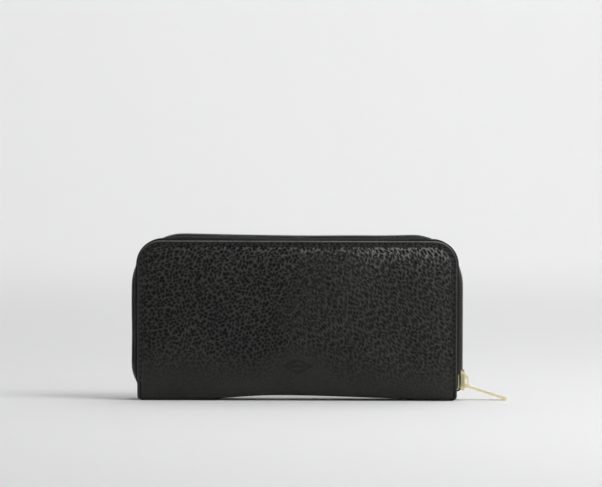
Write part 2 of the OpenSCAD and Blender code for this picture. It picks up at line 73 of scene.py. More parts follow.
cover_lo, cover_hi = node_box("front_cover_leather")
HALF_W, TOP_Z = cover_hi[0], cover_hi[2]
FACE_Y, LEATHER_T = -cover_lo[1], cover_hi[1] - cover_lo[1]
FOLD = next(j for j in frame["joints"] if j["name"] == "front_cover_fold")
FOLD_Y = -FOLD["pos_m"][1] / MM
LINING_Y = -node_box("front_cover_lining")[1][1]
LINING_TOP = node_box("front_cover_lining")[1][2]
FLOOR_LO, FLOOR_HI = node_box("spine_lining")
ZIP_TOP = node_box("front_zip_coil")[1][2]
ZIP_PROUD = ZIP_TOP - TOP_Z
TAPE_TOP = node_box("front_zip_tape")[1][2]
COIL_T = ZIP_TOP - TAPE_TOP
TAPE_N = TAPE_TOP - TOP_Z - 0.3  # the flat tape's middle, out from the covers' edge line
SLIDER_LO = node_box("slider_body")[0]
TAIL_LO, TAIL_HI = node_box("zip_tail_tape_right")
COIN_ZIP_LO, COIN_ZIP_HI = node_box("coin_zip_tape_front")
COIN_COIL_LO, COIN_COIL_HI = node_box("coin_zip_coil_front")

# Shape choices that the frame doesn't hold
CORNER_R = 13.5  # a cover's top corners
LOW_R = 2.5  # a cover's bottom corners
ZIP_CORNER_R = 26.5  # the zip's corners, at the cover's edge line
STITCH_D = 1.8  # the stitch line's distance from the edge
STITCH_LOW_Z = 9.0  # where the stitch line ends above the table
SIDE_STITCH_PITCH, TOP_STITCH_PITCH = 3.15, 3.5
STITCH_SHARE = 0.7  # the part of a pitch that its stitch covers
GRAIN_STEP = 0.5  # spacing of the leather mesh
GRAIN_DEPTH = 0.6
GRAIN_SLANT = math.radians(52)  # the furrows' lean
MARK_Z, MARK_HALF_W, MARK_HALF_H = 20, 9.5, 4.5  # the pressed mark's middle and half sizes
LINING_CORNER_R, BOARD_CORNER_R = 25.5, 25.3
FOLD_ROUND_Y, FOLD_ROUND_Z = 3.6, 4.2  # how far the outer fold's curve reaches in and up
COIL_PITCH = 1.66
LEFT_BEND_R, LEFT_BEND_Z = 21.0, 21.0  # where the zip turns in at the left foot
BOW_LIFT, BOW_FADE_Z = 2.75, 18  # the spine's lift, and the height where it has died out
CARD_SAG = 0.7


# ---- small mathematics ----


def smooth(x):
    """0 below 0, 1 above 1, and a smooth step between."""
    x = np.clip(x, 0, 1)
    return x * x * (3 - 2 * x)


def bump(x, width):
    return np.exp(-((x / width) ** 2))


def wave_noise(x, y, scale, seed, terms=7):
    """A smooth random field between about -1 and 1 whose waves are about scale long."""
    r = np.random.default_rng(seed)
    total = np.zeros(np.broadcast(x, y).shape)
    for _ in range(terms):
        angle, phase = r.uniform(0, 2 * math.pi, 2)
        k = 2 * math.pi / (scale * r.uniform(0.7, 1.6))
        total += np.sin(k * (x * math.cos(angle) + y * math.sin(angle)) + phase)
    return total / math.sqrt(terms) / 1.2


def bow(x, z):
    """How far the spine's middle is lifted off the table. The ends of the wallet stand on it."""
    left = smooth((x + 72) / 60) ** 1.3
    right = smooth((92 - x) / 104) ** 0.8
    return BOW_LIFT * np.where(x < -12, left, right) * (1 - smooth(z / BOW_FADE_Z))


def run_length(points):
    """The distance along a line of points, at each of them."""
    return np.concatenate([[0], np.cumsum(np.linalg.norm(np.diff(points, axis=0), axis=1))])


def grid(x, y, z=0.0):
    """A grid of points, or of material coordinates where only two are given."""
    return np.stack(np.broadcast_arrays(x, y, z), -1)


def round_off(depth, radius, least=0.0):
    """How far a corner's curve is set back, at a depth into the corner."""
    return radius - np.sqrt(np.maximum(radius**2 - depth**2, least))


def relaxed(line, rounds):
    """The line with its bends softened and its ends kept."""
    for _ in range(rounds):
        line[1:-1] = (line[:-2] + 2 * line[1:-1] + line[2:]) / 4
    return line


def on_side(points, back):
    """Points made for the front half, or their mirror images for the back half."""
    out = np.array(points, float)
    if back:
        out[..., 1] *= -1
    return out


# ---- mesh helpers ----


def add_object(name, data):
    obj = bpy.data.objects.new(name, data)
    bpy.context.scene.collection.objects.link(obj)
    return obj


def make_mesh(name, verts, faces, material, flat=None, smooth_shade=True):
    """A mesh object from points in millimetres, with the material coordinates kept on its points."""
    verts = np.asarray(verts, float).reshape(-1, 3)
    mesh = bpy.data.meshes.new(name)
    mesh.from_pydata((verts * MM).tolist(), [], [tuple(int(i) for i in f) for f in faces])
    mesh.validate()
    attribute = mesh.attributes.new("flat", "FLOAT_VECTOR", "POINT")
    coords = verts if flat is None else np.asarray(flat, float).reshape(-1, 3)
    attribute.data.foreach_set("vector", coords.astype(np.float32).ravel())
    mesh.polygons.foreach_set("use_smooth", [smooth_shade] * len(mesh.polygons))
    mesh.materials.append(material)
    return add_object(name, mesh)


def add_scalar(obj, name, values):
    attribute = obj.data.attributes.new(name, "FLOAT", "POINT")
    attribute.data.foreach_set("value", np.asarray(values, np.float32).ravel())


def grid_faces(rows, cols, base=0, flip=False, close_rows=False, close_cols=False):
    """Quads over a grid of rows x cols points."""
    i = np.arange(rows if close_rows else rows - 1)
    j = np.arange(cols if close_cols else cols - 1)
    i, j = [a.ravel() for a in np.meshgrid(i, j, indexing="ij")]
    i2, j2 = (i + 1) % rows, (j + 1) % cols
    quads = np.stack([i * cols + j, i * cols + j2, i2 * cols + j2, i2 * cols + j], 1) + base
    return (quads[:, ::-1] if flip else quads).tolist()


def grid_normals(points):
    n = np.cross(np.gradient(points, axis=0), np.gradient(points, axis=1))
    return n / np.maximum(np.linalg.norm(n, axis=2, keepdims=True), 1e-9)


def thick_sheet(name, mid, thickness, material, flat=None):
    """A closed sheet round a grid of middle points, with a rounded rim."""
    rows, cols = mid.shape[:2]
    t = np.broadcast_to(np.asarray(thickness, float), (rows, cols))[..., None]
    normal = grid_normals(mid)
    top, low = mid + normal * t / 2, mid - normal * t / 2
    if flat is None:
        flat = mid
    count = rows * cols
    index = np.arange(count).reshape(rows, cols)
    rim = np.concatenate([index[0, :-1], index[:-1, -1], index[-1, :0:-1], index[:0:-1, 0]])
    points = mid.reshape(-1, 3)
    ahead = np.roll(points[rim], -1, 0) - np.roll(points[rim], 1, 0)
    out = np.cross(ahead, normal.reshape(-1, 3)[rim])
    out /= np.maximum(np.linalg.norm(out, axis=1, keepdims=True), 1e-9)
    centre = points.mean(0)
    if np.sum(np.einsum("ij,ij->i", out, points[rim] - centre)) < 0:
        out = -out
    edge = points[rim] + out * t.reshape(-1, 1)[rim] * 0.35
    verts = np.concatenate([top.reshape(-1, 3), low.reshape(-1, 3), edge])
    faces = grid_faces(rows, cols) + grid_faces(rows, cols, count, flip=True)
    a = rim
    b = np.roll(rim, -1)
    e = 2 * count + np.arange(len(rim))
    f = np.roll(e, -1)
    faces += np.stack([a, e, f, b], 1).tolist() + np.stack([e, a + count, b + count, f], 1).tolist()
    flat = np.asarray(flat, float).reshape(-1, 3)
    obj = make_mesh(name, verts, faces, material, np.concatenate([flat, flat, flat[rim]]))
    fix_normals(obj)
    return obj


def fix_normals(obj):
    bm = bmesh.new()
    bm.from_mesh(obj.data)
    bmesh.ops.recalc_face_normals(bm, faces=bm.faces)
    bm.to_mesh(obj.data)
    bm.free()


def tubes(name, paths, radius_a, radius_b, up, sides, material):
    """One mesh of closed-ended tubes. Each path is N x 3, and up N x 3 is the direction of radius_b."""
    verts, faces, flat, base = [], [], [], 0
    angles = np.linspace(0, 2 * math.pi, sides, endpoint=False)
    for path, ups in zip(paths, up):
        along = np.gradient(path, axis=0)
        along /= np.maximum(np.linalg.norm(along, axis=1, keepdims=True), 1e-9)
        side = np.cross(along, ups)
        side /= np.maximum(np.linalg.norm(side, axis=1, keepdims=True), 1e-9)
        lift = np.cross(side, along)
        n = len(path)
        taper = np.ones(n)
        taper[[0, -1]] = 0.45
        ring = (
            path[:, None]
            + side[:, None] * (np.cos(angles)[None, :, None] * radius_a * taper[:, None, None])
            + lift[:, None] * (np.sin(angles)[None, :, None] * radius_b * taper[:, None, None])
        )
        verts.append(ring.reshape(-1, 3))
        length = run_length(path)
        f = np.zeros((n, sides, 3))
        f[..., 0] = length[:, None]
        f[..., 1] = angles[None, :]
        f[..., 2] = base
        flat.append(f.reshape(-1, 3))
        faces += grid_faces(n, sides, base, close_cols=True)
        faces.append(list(range(base, base + sides))[::-1])
        faces.append(list(range(base + (n - 1) * sides, base + n * sides)))
        base += n * sides
    obj = make_mesh(name, np.concatenate(verts), faces, material, np.concatenate(flat))
    fix_normals(obj)
    return obj


def stitch_paths(line, normals, pitch, share, rise, sink):
    """Splits a line of points into separate stitches whose ends dip into the material.

    The pitch is one value or one for each point, and a stitch takes up a share of it.
    """
    step = np.linalg.norm(np.diff(line, axis=0), axis=1)
    run = np.concatenate([[0], np.cumsum(step)])
    number = np.concatenate([[0], np.cumsum(step / np.broadcast_to(pitch, len(line))[1:])])
    paths, ups = [], []
    for k in range(int(number[-1])):
        s = np.interp(k + 0.5 + np.linspace(-0.5, 0.5, 7) * share, number, run)
        point = np.stack([np.interp(s, run, line[:, i]) for i in range(3)], 1)
        up = np.stack([np.interp(s, run, normals[:, i]) for i in range(3)], 1)
        dip = np.abs(np.linspace(-1, 1, 7)) ** 3
        paths.append(point + up * (rise - (rise + sink) * dip)[:, None])
        ups.append(up)
    return paths, ups


# ---- materials ----


class Shader:
    """A short way to write a node tree."""

    def __init__(self, name, colour, roughness, metallic=0.0, **sockets):
        self.material = bpy.data.materials.new(name)
        self.material.use_nodes = True
        self.tree = self.material.node_tree
        self.bsdf = self.tree.nodes["Principled BSDF"]
        self.set(self.bsdf, {"Base Color": (*colour, 1), "Roughness": roughness, "Metallic": metallic})
        self.set(self.bsdf, sockets)

    def set(self, node, inputs):
        for key, value in inputs.items():
            socket = node.inputs[key]
            if isinstance(value, bpy.types.NodeSocket):
                self.tree.links.new(value, socket)
            else:
                socket.default_value = value

    def add(self, kind, inputs=None, **properties):
        node = self.tree.nodes.new("ShaderNode" + kind)
        for key, value in properties.items():
            setattr(node, key, value)
        self.set(node, inputs or {})
        return node

    def attribute(self, name, output="Vector"):
        return self.add("Attribute", attribute_name=name).outputs[output]

    def stretch(self, scale, name="flat"):
        """The stored surface coordinates, in millimetres, times scale."""
        node = self.add("VectorMath", {0: self.attribute(name), 1: scale}, operation="MULTIPLY")
        return node.outputs["Vector"]

    def maths(self, operation, a, b=0.0):
        return self.add("Math", {0: a, 1: b}, operation=operation).outputs[0]

    def noise(self, vector, scale, detail=3.0, roughness=0.5):
        inputs = {"Vector": vector, "Scale": scale, "Detail": detail, "Roughness": roughness}
        return self.add("TexNoise", inputs).outputs["Fac"]

    def voronoi(self, vector, scale, feature="F1"):
        node = self.add("TexVoronoi", {"Vector": vector, "Scale": scale}, feature=feature)
        return node.outputs["Distance"]

    def ramp(self, value, stops):
        """Maps a number through (position, grey or colour) stops."""
        node = self.add("ValToRGB", {"Fac": value})
        elements = node.color_ramp.elements
        while len(elements) < len(stops):
            elements.new(0.5)
        for element, (position, colour) in zip(elements, stops):
            element.position = position
            element.color = (*colour, 1) if isinstance(colour, tuple) else (colour,) * 3 + (1,)
        return node.outputs["Color"]

    def finish(self, tone, stops, normal, *rough):
        """Gives the surface its colour ramp, its relief and, if there is one, its roughness ramp."""
        self.set(self.bsdf, {"Base Color": self.ramp(tone, stops), "Normal": normal})
        if rough:
            self.set(self.bsdf, {"Roughness": self.ramp(*rough)})
        return self.material

    def bump(self, height, distance, strength=1.0, normal=None):
        inputs = {"Height": height, "Distance": distance * MM, "Strength": strength}
        if normal is not None:
            inputs["Normal"] = normal
        return self.add("Bump", inputs).outputs["Normal"]


def leather_material(name, dark, light, highlit_tone, rough=(0.38, 0.62), fine=1.0, gloss=0.2):
    """Near-black leather. Its stored tone darkens and dulls the pits, the darkening being painted shade, and
    its palest colour is the painted highlight of the top band and the rolled edge.
    """
    s = Shader(name, light, 0.5, **{"Specular IOR Level": gloss})
    grain_and_light = s.attribute("grain_and_light", "Fac")
    flat = s.attribute("flat")
    cloud = s.noise(flat, 0.04, 2.0)
    speck = s.noise(flat, 1.6, 4.0, 0.65)
    mottle = s.maths("MULTIPLY", s.maths("ADD", cloud, speck), 0.14)
    tone = s.maths("ADD", s.maths("MULTIPLY", grain_and_light, 0.6), mottle)
    middle = tuple(0.6 * a + 0.4 * b for a, b in zip(dark, light))
    # Painted shade: the darkest stop colours the pits. Painted highlight: the palest stop colours the lit top
    # band and rolled edge.
    stops = [(0.24, dark), (0.5, middle), (0.74, light), (0.98, highlit_tone)]
    dull = s.maths("ADD", s.maths("MULTIPLY", speck, 0.4), s.maths("SUBTRACT", 0.75, grain_and_light))
    pores = s.voronoi(flat, 1.35, "DISTANCE_TO_EDGE")
    low = s.bump(s.ramp(pores, [(0.0, 0.0), (0.22, 1.0)]), 0.06 * fine, 0.6)
    relief = s.bump(speck, 0.1 * fine, 0.7, low)
    return s.finish(tone, stops, relief, dull, [(0.1, rough[0]), (0.95, rough[1])])


def woven_material(name, dark, light, pitch, rough=0.8, depth=0.12, twill=False):
    """Black woven tape or lining: two crossing sets of threads in the stored surface coordinates."""
    s = Shader(name, light, rough)
    warp_vector = s.stretch((1 / pitch, 0.5 / pitch if twill else 0.0, 0.0))
    weft_vector = s.stretch((0.35 / pitch if twill else 0.0, 1 / pitch, 0.0))
    waves = []
    for vector, direction in ((warp_vector, "X"), (weft_vector, "Y")):
        inputs = {"Vector": vector, "Scale": 0.314, "Distortion": 0.25, "Detail": 1.0}
        node = s.add("TexWave", inputs, wave_type="BANDS", bands_direction=direction)
        waves.append(node.outputs["Fac"])
    weave = s.maths("MULTIPLY", waves[0], waves[1])
    fuzz = s.noise(s.attribute("flat"), 3.0, 4.0, 0.7)
    tone = s.maths("ADD", s.maths("MULTIPLY", weave, 0.7), s.maths("MULTIPLY", fuzz, 0.4))
    s.set(s.bsdf, {"Sheen Weight": 0.02, "Sheen Roughness": 0.5, "Specular IOR Level": 0.12})
    relief = s.bump(weave, depth, 0.8, s.bump(fuzz, 0.05, 0.5))
    dull = [(0.2, rough - 0.1), (0.8, min(1.0, rough + 0.1))]
    return s.finish(tone, [(0.1, dark), (0.9, light)], relief, fuzz, dull)


def thread_material(name, dark, light):
    """Waxed thread: plies that spiral along each stitch."""
    s = Shader(name, light, 0.5)
    node = s.add(
        "TexWave",
        {"Vector": s.stretch((1.0, 0.16, 0.0)), "Scale": 0.9, "Distortion": 0.4},
        wave_type="BANDS",
        bands_direction="DIAGONAL",
    )
    ply = node.outputs["Fac"]
    return s.finish(ply, [(0.1, dark), (0.9, light)], s.bump(ply, 0.08, 0.7))


def nylon_material(name, dark, light):
    """Moulded nylon filament with faint drawing marks, painted paler at its outer bends and darker elsewhere
    as painted light and shade.
    """
    s = Shader(name, light, 0.35, **{"Specular IOR Level": 0.3})
    marks = s.noise(s.stretch((0.3, 2.0, 1.0)), 1.2, 3.0)
    # Painted light: the stored value lightens the outer bends, so the near loops look lit and the loops
    # behind look shaded.
    bends = s.maths("MULTIPLY", s.attribute("grain_and_light", "Fac"), 0.7)
    tone = s.maths("ADD", s.maths("MULTIPLY", marks, 0.3), bends)
    relief = s.bump(marks, 0.02, 0.5)
    return s.finish(tone, [(0.2, dark), (0.85, light)], relief, marks, [(0.2, 0.28), (0.8, 0.45)])


def gold_material(name, colour, pale, rough=(0.16, 0.34)):
    """Polished pale gold plating with soft wear, fine scratches and slight unevenness."""
    s = Shader(name, colour, 0.25, 1.0)
    place = s.attribute("flat")
    cloud = s.noise(place, 0.28, 3.0)
    scratch = s.noise(s.stretch((0.6, 6.0, 6.0)), 1.2, 4.0, 0.7)
    relief = s.bump(scratch, 0.012, 0.5, s.bump(cloud, 0.12, 0.35))
    dull = [(0.25, rough[0]), (0.8, rough[1])]
    return s.finish(cloud, [(0.3, colour), (0.75, pale)], relief, scratch, dull)


def board_material(name, dark, light):
    s = Shader(name, light, 0.9)
    fibres = s.noise(s.stretch((1.0, 4.0, 1.0)), 0.8, 5.0, 0.7)
    return s.finish(fibres, [(0.3, dark), (0.75, light)], s.bump(fibres, 0.08, 0.6))


# The first colour is the painted shade in the pits and the third the painted highlight on the top band and
# rolled edge.
OUTER_LEATHER = leather_material(
    "outer_leather", (0.001,) * 3, (0.062, 0.061, 0.058), (0.2, 0.198, 0.19), gloss=0.16
)
INNER_LEATHER = leather_material("inner_leather", (0.008,) * 3, (0.03,) * 3, (0.05,) * 3, (0.4, 0.52), 0.6)
LINING = woven_material("lining_cloth", (0.010, 0.010, 0.011), (0.032, 0.032, 0.034), 0.8, 0.75, 0.06)
TAPE = woven_material("zip_tape_cloth", (0.003, 0.003, 0.003), (0.022, 0.022, 0.023), 0.75, 0.8, 0.14, True)
# The pale colour is painted light on the coil's outer bends, and the dark colour is painted shade on the
# rest.
COIL = nylon_material("zip_coil_nylon", (0.003,) * 3, (0.13,) * 3)
THREAD = thread_material("stitching_thread", (0.002,) * 3, (0.008,) * 3)
GOLD = gold_material("pale_gold", (0.92, 0.81, 0.46), (1.0, 0.93, 0.64), (0.18, 0.38))
BOARD = board_material("stiffener_board", (0.16, 0.12, 0.08), (0.30, 0.24, 0.17))


# ---- outer leather ----


def cell_distances(u, v, pitch, seed):
    """Distances from each point to the two nearest of a jittered grid of seeds."""
    r = np.random.default_rng(seed)
    nu, nv = int((u.max() - u.min()) / pitch) + 6, int((v.max() - v.min()) / pitch) + 6
    jitter = r.uniform(-0.36, 0.36, (nu, nv, 2))
    gu, gv = (u - u.min()) / pitch + 2, (v - v.min()) / pitch + 2
    iu, iv = np.floor(gu).astype(int), np.floor(gv).astype(int)
    found = []
    for du in (-2, -1, 0, 1, 2):
        for dv in (-2, -1, 0, 1, 2):
            cu, cv = np.clip(iu + du, 0, nu - 1), np.clip(iv + dv, 0, nv - 1)
            shift = 0.5 * (cv % 2)
            pu = cu + 0.5 + shift + jitter[cu, cv, 0]
            pv = cv + 0.5 + jitter[cu, cv, 1]
            found.append(np.hypot(gu - pu, gv - pv) * pitch)
    return np.partition(np.stack(found), 1, axis=0)[:2]


def grain_height(x, t, seed):
    """Pebble grain, from 0 at the bottom of a pit to 1 on the ridges between the pits.

    To the right the pits lengthen into slanting furrows.
    """
    lean, rise = math.cos(GRAIN_SLANT), math.sin(GRAIN_SLANT)
    along = x * lean - t * rise + 0.8 * wave_noise(x, t, 10, seed + 1)
    across = x * rise + t * lean + 0.8 * wave_noise(x, t, 12, seed + 2)
    f1, f2 = cell_distances(along, across * 1.05, 2.25, seed)
    depth = 0.8 + 0.25 * wave_noise(x, t, 7, seed + 6)
    pits = 0.6 - 0.85 * depth * bump(f1, 0.78) + 0.3 * bump(f2 - f1, 0.34)
    g1, g2 = cell_distances(along / 2.3, across * 1.15, 1.75, seed + 7)
    furrows = 0.6 - 0.66 * depth * bump(g1, 0.5) + 0.4 * bump(g2 - g1, 0.26)
    share = smooth((x + 25 + 14 * wave_noise(x, t, 60, seed + 4)) / 70)
    height = pits * (1 - share) + furrows * share
    return np.clip(height + 0.07 * wave_noise(x, t, 2.2, seed + 5), 0, 1)


def grain_strength(x, z):
    """How strong the grain is, from 0 to 1: fainter near the foot and round the mark."""
    strength = 0.12 + 0.88 * smooth((z - 5 + 0.06 * x) / 30)
    near_mark = np.hypot(x / 20, (z - MARK_Z) / 11)
    return strength * (0.35 + 0.65 * smooth(near_mark - 0.4))


def mark_depth(x, z):
    """A plain lozenge outline with a bar in it, pressed into the leather."""
    lozenge = (np.abs(x) / MARK_HALF_W + np.abs(z - MARK_Z) / MARK_HALF_H - 1) * 3.9
    line = 1 - smooth((np.abs(lozenge + 0.7) - 0.3) / 0.5)
    bar = (1 - smooth((np.abs(z - MARK_Z) - 0.35) / 0.5)) * (1 - smooth((np.abs(x) - 4.2) / 0.6))
    return 0.3 * np.maximum(line, bar)


def crease_depth(x, z):
    """Small folds that run in from the lower ends of the stitch line."""
    total = np.zeros_like(x)
    for side in (-1, 1):
        d = side * x
        line = z - (7.6 + 0.14 * (HALF_W - d))
        total += 0.28 * bump(line, 0.55) * smooth((d - 81) / 6) * smooth((HALF_W - 0.6 - d) / 1.4)
    return total


def wrap_profile(step):
    """The outer surface from the spine's middle up the cover, as rows of (y, z, normal y, normal z)."""
    start_y = FACE_Y - FOLD_ROUND_Y
    rows = [(-y, 0.0, 0.0, -1.0) for y in np.linspace(0, start_y, 7)]
    for angle in np.radians(np.arange(9, 90, 9)):
        normal = np.array([math.sin(angle) / FOLD_ROUND_Y, math.cos(angle) / FOLD_ROUND_Z])
        normal /= np.linalg.norm(normal)
        y = -start_y - FOLD_ROUND_Y * math.sin(angle)
        rows.append((y, FOLD_ROUND_Z * (1 - math.cos(angle)), -normal[0], -normal[1]))
    border_top = TOP_Z - CORNER_R
    count = int(round((border_top - FOLD_ROUND_Z) / step))
    rows += [(-FACE_Y, z, -1.0, 0.0) for z in np.linspace(FOLD_ROUND_Z, border_top, count + 1)]
    return np.array(rows)


def leather_wrap(name, marked, seed, back):
    """One half of the outer leather: a cover panel, its fold and half the spine.

    It is one closed piece with a turned edge.
    """
    border = 4.0
    inner_r = CORNER_R - border
    profile = wrap_profile(GRAIN_STEP)
    turn = np.radians(np.linspace(0, 90, 21))[1:]
    centre_x, centre_z = HALF_W - CORNER_R, TOP_Z - CORNER_R
    straight = len(profile)
    foot = np.clip(LOW_R - profile[:, 1], 0, LOW_R)
    pulled = round_off(foot, LOW_R)
    corner_rows = np.zeros((len(turn), 4))
    corner_rows[:, 0], corner_rows[:, 2] = -FACE_Y, -1.0
    corner_rows[:, 1] = centre_z + inner_r * np.sin(turn)
    rows = np.concatenate([profile, corner_rows])
    half = np.concatenate([HALF_W - border - pulled, centre_x + inner_r * np.cos(turn)])
    run = run_length(rows[:, :2])
    cols = int(2 * half[0] / GRAIN_STEP) + 1
    u = np.linspace(-1, 1, cols)
    n_rows = len(rows)

    points = np.zeros((n_rows, cols, 3))
    points[..., 0] = half[:, None] * u[None, :]
    points[..., 1:] = rows[:, None, :2]
    normals = np.zeros_like(points)
    normals[..., 1:] = rows[:, None, 2:]
    flat = grid(points[..., 0], run[:, None])

    base_grid = points.copy()

    # the border's loop: up the left side, along the top, down the right side
    tilt = np.concatenate([np.zeros(straight), turn])
    left = [(i, 0, (-math.cos(a), math.sin(a))) for i, a in enumerate(tilt)]
    top = [(n_rows - 1, j, (0.0, 1.0)) for j in range(1, cols - 1)]
    right = [(i, cols - 1, (math.cos(a), math.sin(a))) for i, a in reversed(list(enumerate(tilt)))]
    loop = left + top + right
    li, lj = np.array([p[0] for p in loop]), np.array([p[1] for p in loop])
    out = np.zeros((len(loop), 3))
    out[:, 0] = [p[2][0] for p in loop]
    out[:, 2] = [p[2][1] for p in loop]
    base_points, base_normals = points[li, lj], normals[li, lj]

    # the border's section: outward distance and height over the face
    section = np.array(
        [
            (0.45, 0), (0.9, 0), (1.3, -0.01), (1.6, -0.05), (1.8, -0.13), (1.95, -0.24), (2.08, -0.34),
            (2.2, -0.37), (2.32, -0.34), (2.45, -0.22), (2.6, -0.09), (2.8, 0.0), (3.05, 0.04), (3.3, 0.03),
            (3.55, -0.02), (3.75, -0.1), (3.9, -0.22), (3.98, -0.4), (4.0, -0.62), (3.97, -0.85),
            (3.88, -1.02), (3.7, -1.14), (3.4, -1.2), (2.2, -1.2), (0.0, -1.2), (-3.5, -1.2),
        ]
    )
    section[:, 1] *= LEATHER_T / 1.2  # drawn for leather 1.2 thick
    ring = (
        base_points[:, None]
        + out[:, None] * section[None, :, :1]
        + base_normals[:, None] * section[None, :, 1:]
    )
    ring_flat = np.repeat(flat[li, lj][:, None], len(section), 1)
    ring_flat += np.stack([out[:, 0], out[:, 2], np.zeros(len(loop))], 1)[:, None] * section[None, :, :1]

    # relief on the face
    x, z, t = points[..., 0], points[..., 2], flat[..., 1]
    height = grain_height(x, t, seed)
    up_cover = smooth((t - FOLD_Y + 1) / 8)
    strength = grain_strength(x, z)
    height = 0.62 + (height - 0.62) * strength
    sink = np.zeros_like(x)
    edge_gap = np.minimum(half[:, None] - np.abs(x), np.maximum(centre_z + inner_r - z, 0))
    swell = 1.05 * (1 - np.exp(-np.clip(edge_gap, 0, None) / 5.5)) * up_cover
    swell += 0.15 * wave_noise(x, t, 48, seed + 8) * up_cover * smooth(edge_gap / 12)
    if marked:
        pressed = mark_depth(x, z) * up_cover
        height = height * (1 - 0.7 * smooth(pressed / 0.2)) + 0.3 * smooth(pressed / 0.2)
        sink += pressed
    sink += crease_depth(x, z) * up_cover
    points += normals * (swell - GRAIN_DEPTH * (1 - height) - sink)[..., None]
    ring_height = grain_height(ring_flat[..., 0], ring_flat[..., 1], seed)
    ring_height = 0.62 + (ring_height - 0.62) * grain_strength(ring[..., 0], ring[..., 2])
    strip = np.interp(section[:, 0], [0, 1.2, 2.0, 4.0], [1.0, 0.8, 0.25, 0.22])
    turned_under = 18  # from this point on the section is out of sight
    strip[turned_under:] = 0
    ring -= base_normals[:, None] * (GRAIN_DEPTH * strip[None] * (1 - ring_height))[..., None]
    # Painted shade darkens the stitch groove, and a painted highlight pales the rolled edge, most on the top
    # edge where the light from above falls.
    groove_shade, edge_highlight = bump(section[:, 0] - 2.2, 0.32), bump(section[:, 0] - 3.75, 0.4)
    edge_highlight[turned_under:] = 0
    ring_grain_and_light = 0.62 + (ring_height - 0.62) * strip[None] - 0.55 * groove_shade[None]
    ring_grain_and_light += (0.25 + 0.45 * out[:, 2:3]) * edge_highlight[None]

    # join: face grid, border strips, end cap at the spine's middle, and the hidden inner side
    count = n_rows * cols
    index = np.arange(count).reshape(n_rows, cols)
    face_loop = index[li, lj]
    n_loop, n_sec = len(loop), len(section)
    ring_index = count + np.arange(n_loop * n_sec).reshape(n_loop, n_sec)
    faces = grid_faces(n_rows, cols)
    faces += np.stack([face_loop[:-1], face_loop[1:], ring_index[1:, 0], ring_index[:-1, 0]], 1).tolist()
    faces += grid_faces(n_loop, n_sec, count)
    inner = ring_index[:, -1]
    at_cols = np.round(np.linspace(0.08, 0.92, 21) * (cols - 1)).astype(int)
    at_rows = list(range(0, int(np.argmax(rows[:, 1] > 19)), 4)) + [straight - 1]
    hidden = base_grid[at_rows][:, at_cols] - LEATHER_T * normals[at_rows][:, at_cols]
    hidden_index = count + n_loop * n_sec + np.arange(hidden[..., 0].size).reshape(hidden.shape[:2])
    faces += grid_faces(*hidden.shape[:2], hidden_index[0, 0])
    for k, (low, high) in enumerate(zip(at_rows[:-1], at_rows[1:])):
        faces.append([*inner[low : high + 1], hidden_index[k + 1, 0], hidden_index[k, 0]])
        faces.append([*inner[n_loop - 1 - high : n_loop - low], hidden_index[k, -1], hidden_index[k + 1, -1]])
    faces.append([*inner[at_rows[-1] : n_loop - at_rows[-1]], *hidden_index[-1, ::-1]])
    faces.append([*index[0, at_cols[0] :: -1], *ring_index[0], hidden_index[0, 0]])
    faces.append([*index[0, at_cols[-1] :], *ring_index[-1], hidden_index[0, -1]])
    for k, (a, b) in enumerate(zip(at_cols[:-1], at_cols[1:])):
        faces.append([*index[0, a : b + 1], hidden_index[0, k + 1], hidden_index[0, k]])
    verts = np.concatenate([points.reshape(-1, 3), ring.reshape(-1, 3), hidden.reshape(-1, 3)])
    verts[:, 2] += bow(verts[:, 0], verts[:, 2])
    hidden_flat = flat[at_rows][:, at_cols].reshape(-1, 3)
    coords = np.concatenate([flat.reshape(-1, 3), ring_flat.reshape(-1, 3), hidden_flat])
    obj = make_mesh(name, on_side(verts, back), faces, OUTER_LEATHER, coords)
    # Painted highlight: the ridges in a band under the top edge, stronger to the right, are stored paler
    # where the light from above and the right catches the swell.
    top_highlight = np.exp(-np.clip(centre_z + inner_r - z, 0, None) / 9)
    top_highlight *= 0.35 + 0.65 * smooth((x + 60) / 130)
    highlit_tone = height + 0.75 * top_highlight * smooth((height - 0.4) / 0.35)
    plain = np.full(len(hidden_flat), 0.5)
    add_scalar(obj, "grain_and_light", np.concatenate([highlit_tone.ravel(), ring_grain_and_light.ravel(), plain]))
    fix_normals(obj)
    return obj


def edge_line(inset, low_z, y, step):
    """Points round the cover's three stitched sides, inset from its edge, at depth y."""
    r = CORNER_R - inset
    x0, z0 = HALF_W - CORNER_R, TOP_Z - CORNER_R
    up = np.arange(low_z, z0, step)
    turn = np.linspace(0, math.pi / 2, int(r * math.pi / 2 / step) + 2)
    x = np.concatenate([np.full(len(up), x0 + r), x0 + r * np.cos(turn)])
    z = np.concatenate([up, z0 + r * np.sin(turn)])
    right = np.stack([x, np.full(len(x), y), z], 1)
    left = right[::-1] * np.array([-1, 1, 1])
    return np.concatenate([right, left])


def cover_stitches(name, back):
    line = edge_line(STITCH_D, STITCH_LOW_Z, -FACE_Y + 0.2, 0.5)
    line += np.array([1.0, 0, 0]) * 0.05 * np.sin(line[:, 2:3] * 1.7)
    normals = np.tile([0.0, -1.0, 0.0], (len(line), 1))
    line, normals = on_side(line, back), on_side(normals, back)
    pitch = np.where(line[:, 2] > TOP_Z - CORNER_R, TOP_STITCH_PITCH, SIDE_STITCH_PITCH)
    paths, ups = stitch_paths(line, normals, pitch, STITCH_SHARE, 0.04, 0.42)
    return tubes(name, paths, 0.36, 0.24, ups, 6, THREAD)


# ---- linings and stiffener ----


